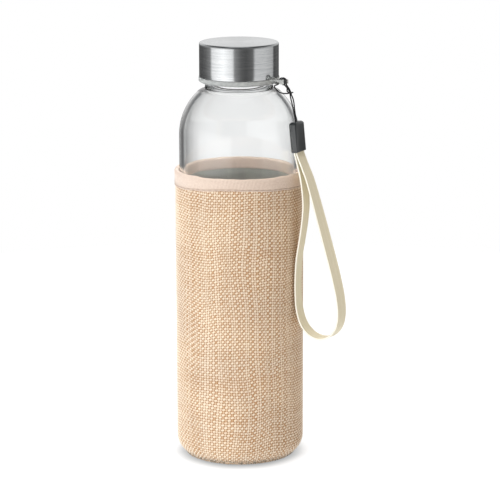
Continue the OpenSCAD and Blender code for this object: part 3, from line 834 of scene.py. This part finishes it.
# ---- Floor and light
# A pale floor with a soft contact shade painted on it. The camera sees white around it, while
# mirror-like, see-through and matt surfaces are each given a room of their own: bright at the left,
# dimmer at the right, dark between. Two soft lamps add to them.
FLOOR_DROP = 0.00002
floor_bm = bmesh.new()
bmesh.ops.create_circle(floor_bm, cap_ends=True, segments=96, radius=0.5)
bmesh.ops.translate(floor_bm, verts=floor_bm.verts, vec=(0, 0, -FLOOR_DROP))
floor_mesh = bpy.data.meshes.new("floor")
floor_bm.to_mesh(floor_mesh)
floor_bm.free()
floor = bpy.data.objects.new("floor", floor_mesh)
scene.collection.objects.link(floor)
floor.visible_glossy = False
floor_white, shade, wire = finish("floor_white", Roughness=0.9, Specular_IOR_Level=0.0, Emission_Strength=1.0)
place = place_on(shade, 3)
x, y, _ = place.parts()
reach = (x * x + y * y).math("SQRT") + place.noise(60.0, 2.0) * 0.002
wire(Base_Color=place.noise(300.0, 2.0).blend((0.2, 0.2, 0.2), (0.21, 0.21, 0.21)),
     Emission_Color=reach.over(0.027, 0.039).blend((0.36, 0.375, 0.385), (0.9, 0.9, 0.9)))
floor_mesh.materials.append(floor_white)

world = bpy.data.worlds.new("studio")
world.use_nodes = True
scene.world = world
tree = world.node_tree
shade = Shade(tree)
x, y, z = place_on(shade, 0).parts()
# in turns, rising to the right: 0.5 is towards the camera and 0 and 1 are behind the bottle
bearing = x.math("ARCTAN2", 0 - y) / math.tau + 0.5


def bands(*stops):
    """A colour for each bearing, from stops of degrees, 0 at the camera, and a grey or a colour."""
    colours = [(0.5 + degrees / 360, tone if isinstance(tone, tuple) else (tone,) * 3)
               for degrees, tone in stops]
    return bearing.node("ValToRGB", {"stops": colours}, {"Fac": bearing})


low_room = bands((-180, 0.11), (-135, 0.08), (-112, 0.14), (-91, 0.3), (-85, 1.15), (-46, 1.75), (-32, 1.5),
                 (-18, 1.2), (-13, 0.36), (6, 0.15), (20, 0.1), (41, 0.17), (48, 0.84), (80, 0.78),
                 (114, 0.56), (120, 0.07), (140, 0.12), (180, 0.1))
high_room = bands((-180, 0.86), (-150, 0.7), (-120, 0.45), (-60, 0.35), (0, 0.12), (70, 0.3), (110, 0.4),
                  (150, 0.66), (180, 0.86))
walls = z.over(-0.14, 0.06).blend(low_room, high_room)
dark_above = z.over(0.35, 0.75).blend(walls, (0.07, 0.072, 0.075))
mirror_room = z.over(0.91, 0.97).blend(dark_above, (0.6, 0.61, 0.62))
back_room = bands((-180, 0.99), (-177, 0.97), (-171, 0.66), (-163, 0.3), (-147, 0.12), (-136, 0.5),
                  (-112, 0.2), (-91, 0.3), (-85, 1.15), (-40, 1.7), (-18, 1.2), (-13, 0.3), (20, 0.1),
                  (41, 0.17), (48, 0.84), (114, 0.56), (120, 0.1), (136, 0.5), (147, 0.16), (157, 0.2),
                  (165, 0.9), (180, 0.99))
through_room = z.over(0.02, 0.22).blend(back_room, (0.08, 0.088, 0.092))
soft_room = bands((-180, 0.7), (-110, 1.02), (-55, 1.12), (-10, 0.82), (45, (0.385, 0.335, 0.28)),
                  (110, (0.31, 0.262, 0.212)), (180, 0.7))
ray = tree.nodes.new("ShaderNodeLightPath")
is_camera, is_glossy, is_through, bounced = (Shade(tree, ray.outputs[n]) for n in (
    "Is Camera Ray", "Is Glossy Ray", "Is Transmission Ray", "Diffuse Depth"))
behind_glass = bounced.over(0.2, 0.8).blend(through_room, (5.0, 4.8, 4.65))
seen = is_through.blend(is_glossy.blend(soft_room, mirror_room), behind_glass)
seen = is_camera.blend(seen, (1.0, 1.0, 1.0))
background = tree.nodes["Background"]
tree.links.new(seen.socket, background.inputs["Color"])
background.inputs["Strength"].default_value = 1.0


def soft_light(name, place, size, power, colour):
    data = bpy.data.lights.new(name, "AREA")
    data.shape = "DISK"
    data.size = size
    data.energy = power
    data.color = colour
    made = bpy.data.objects.new(name, data)
    made.location = place
    made.rotation_euler = (Vector((0, 0, 0.1)) - Vector(place)).to_track_quat("-Z", "Y").to_euler()
    made.visible_glossy = False
    made.visible_transmission = False
    scene.collection.objects.link(made)


soft_light("key", (-0.75, -1.05, 0.8), 0.6, 7.0, (1.0, 0.99, 0.98))
soft_light("top", (0.0, 0.1, 1.5), 0.9, 6.0, (1.0, 1.0, 1.0))
scene.view_settings.view_transform = "Standard"
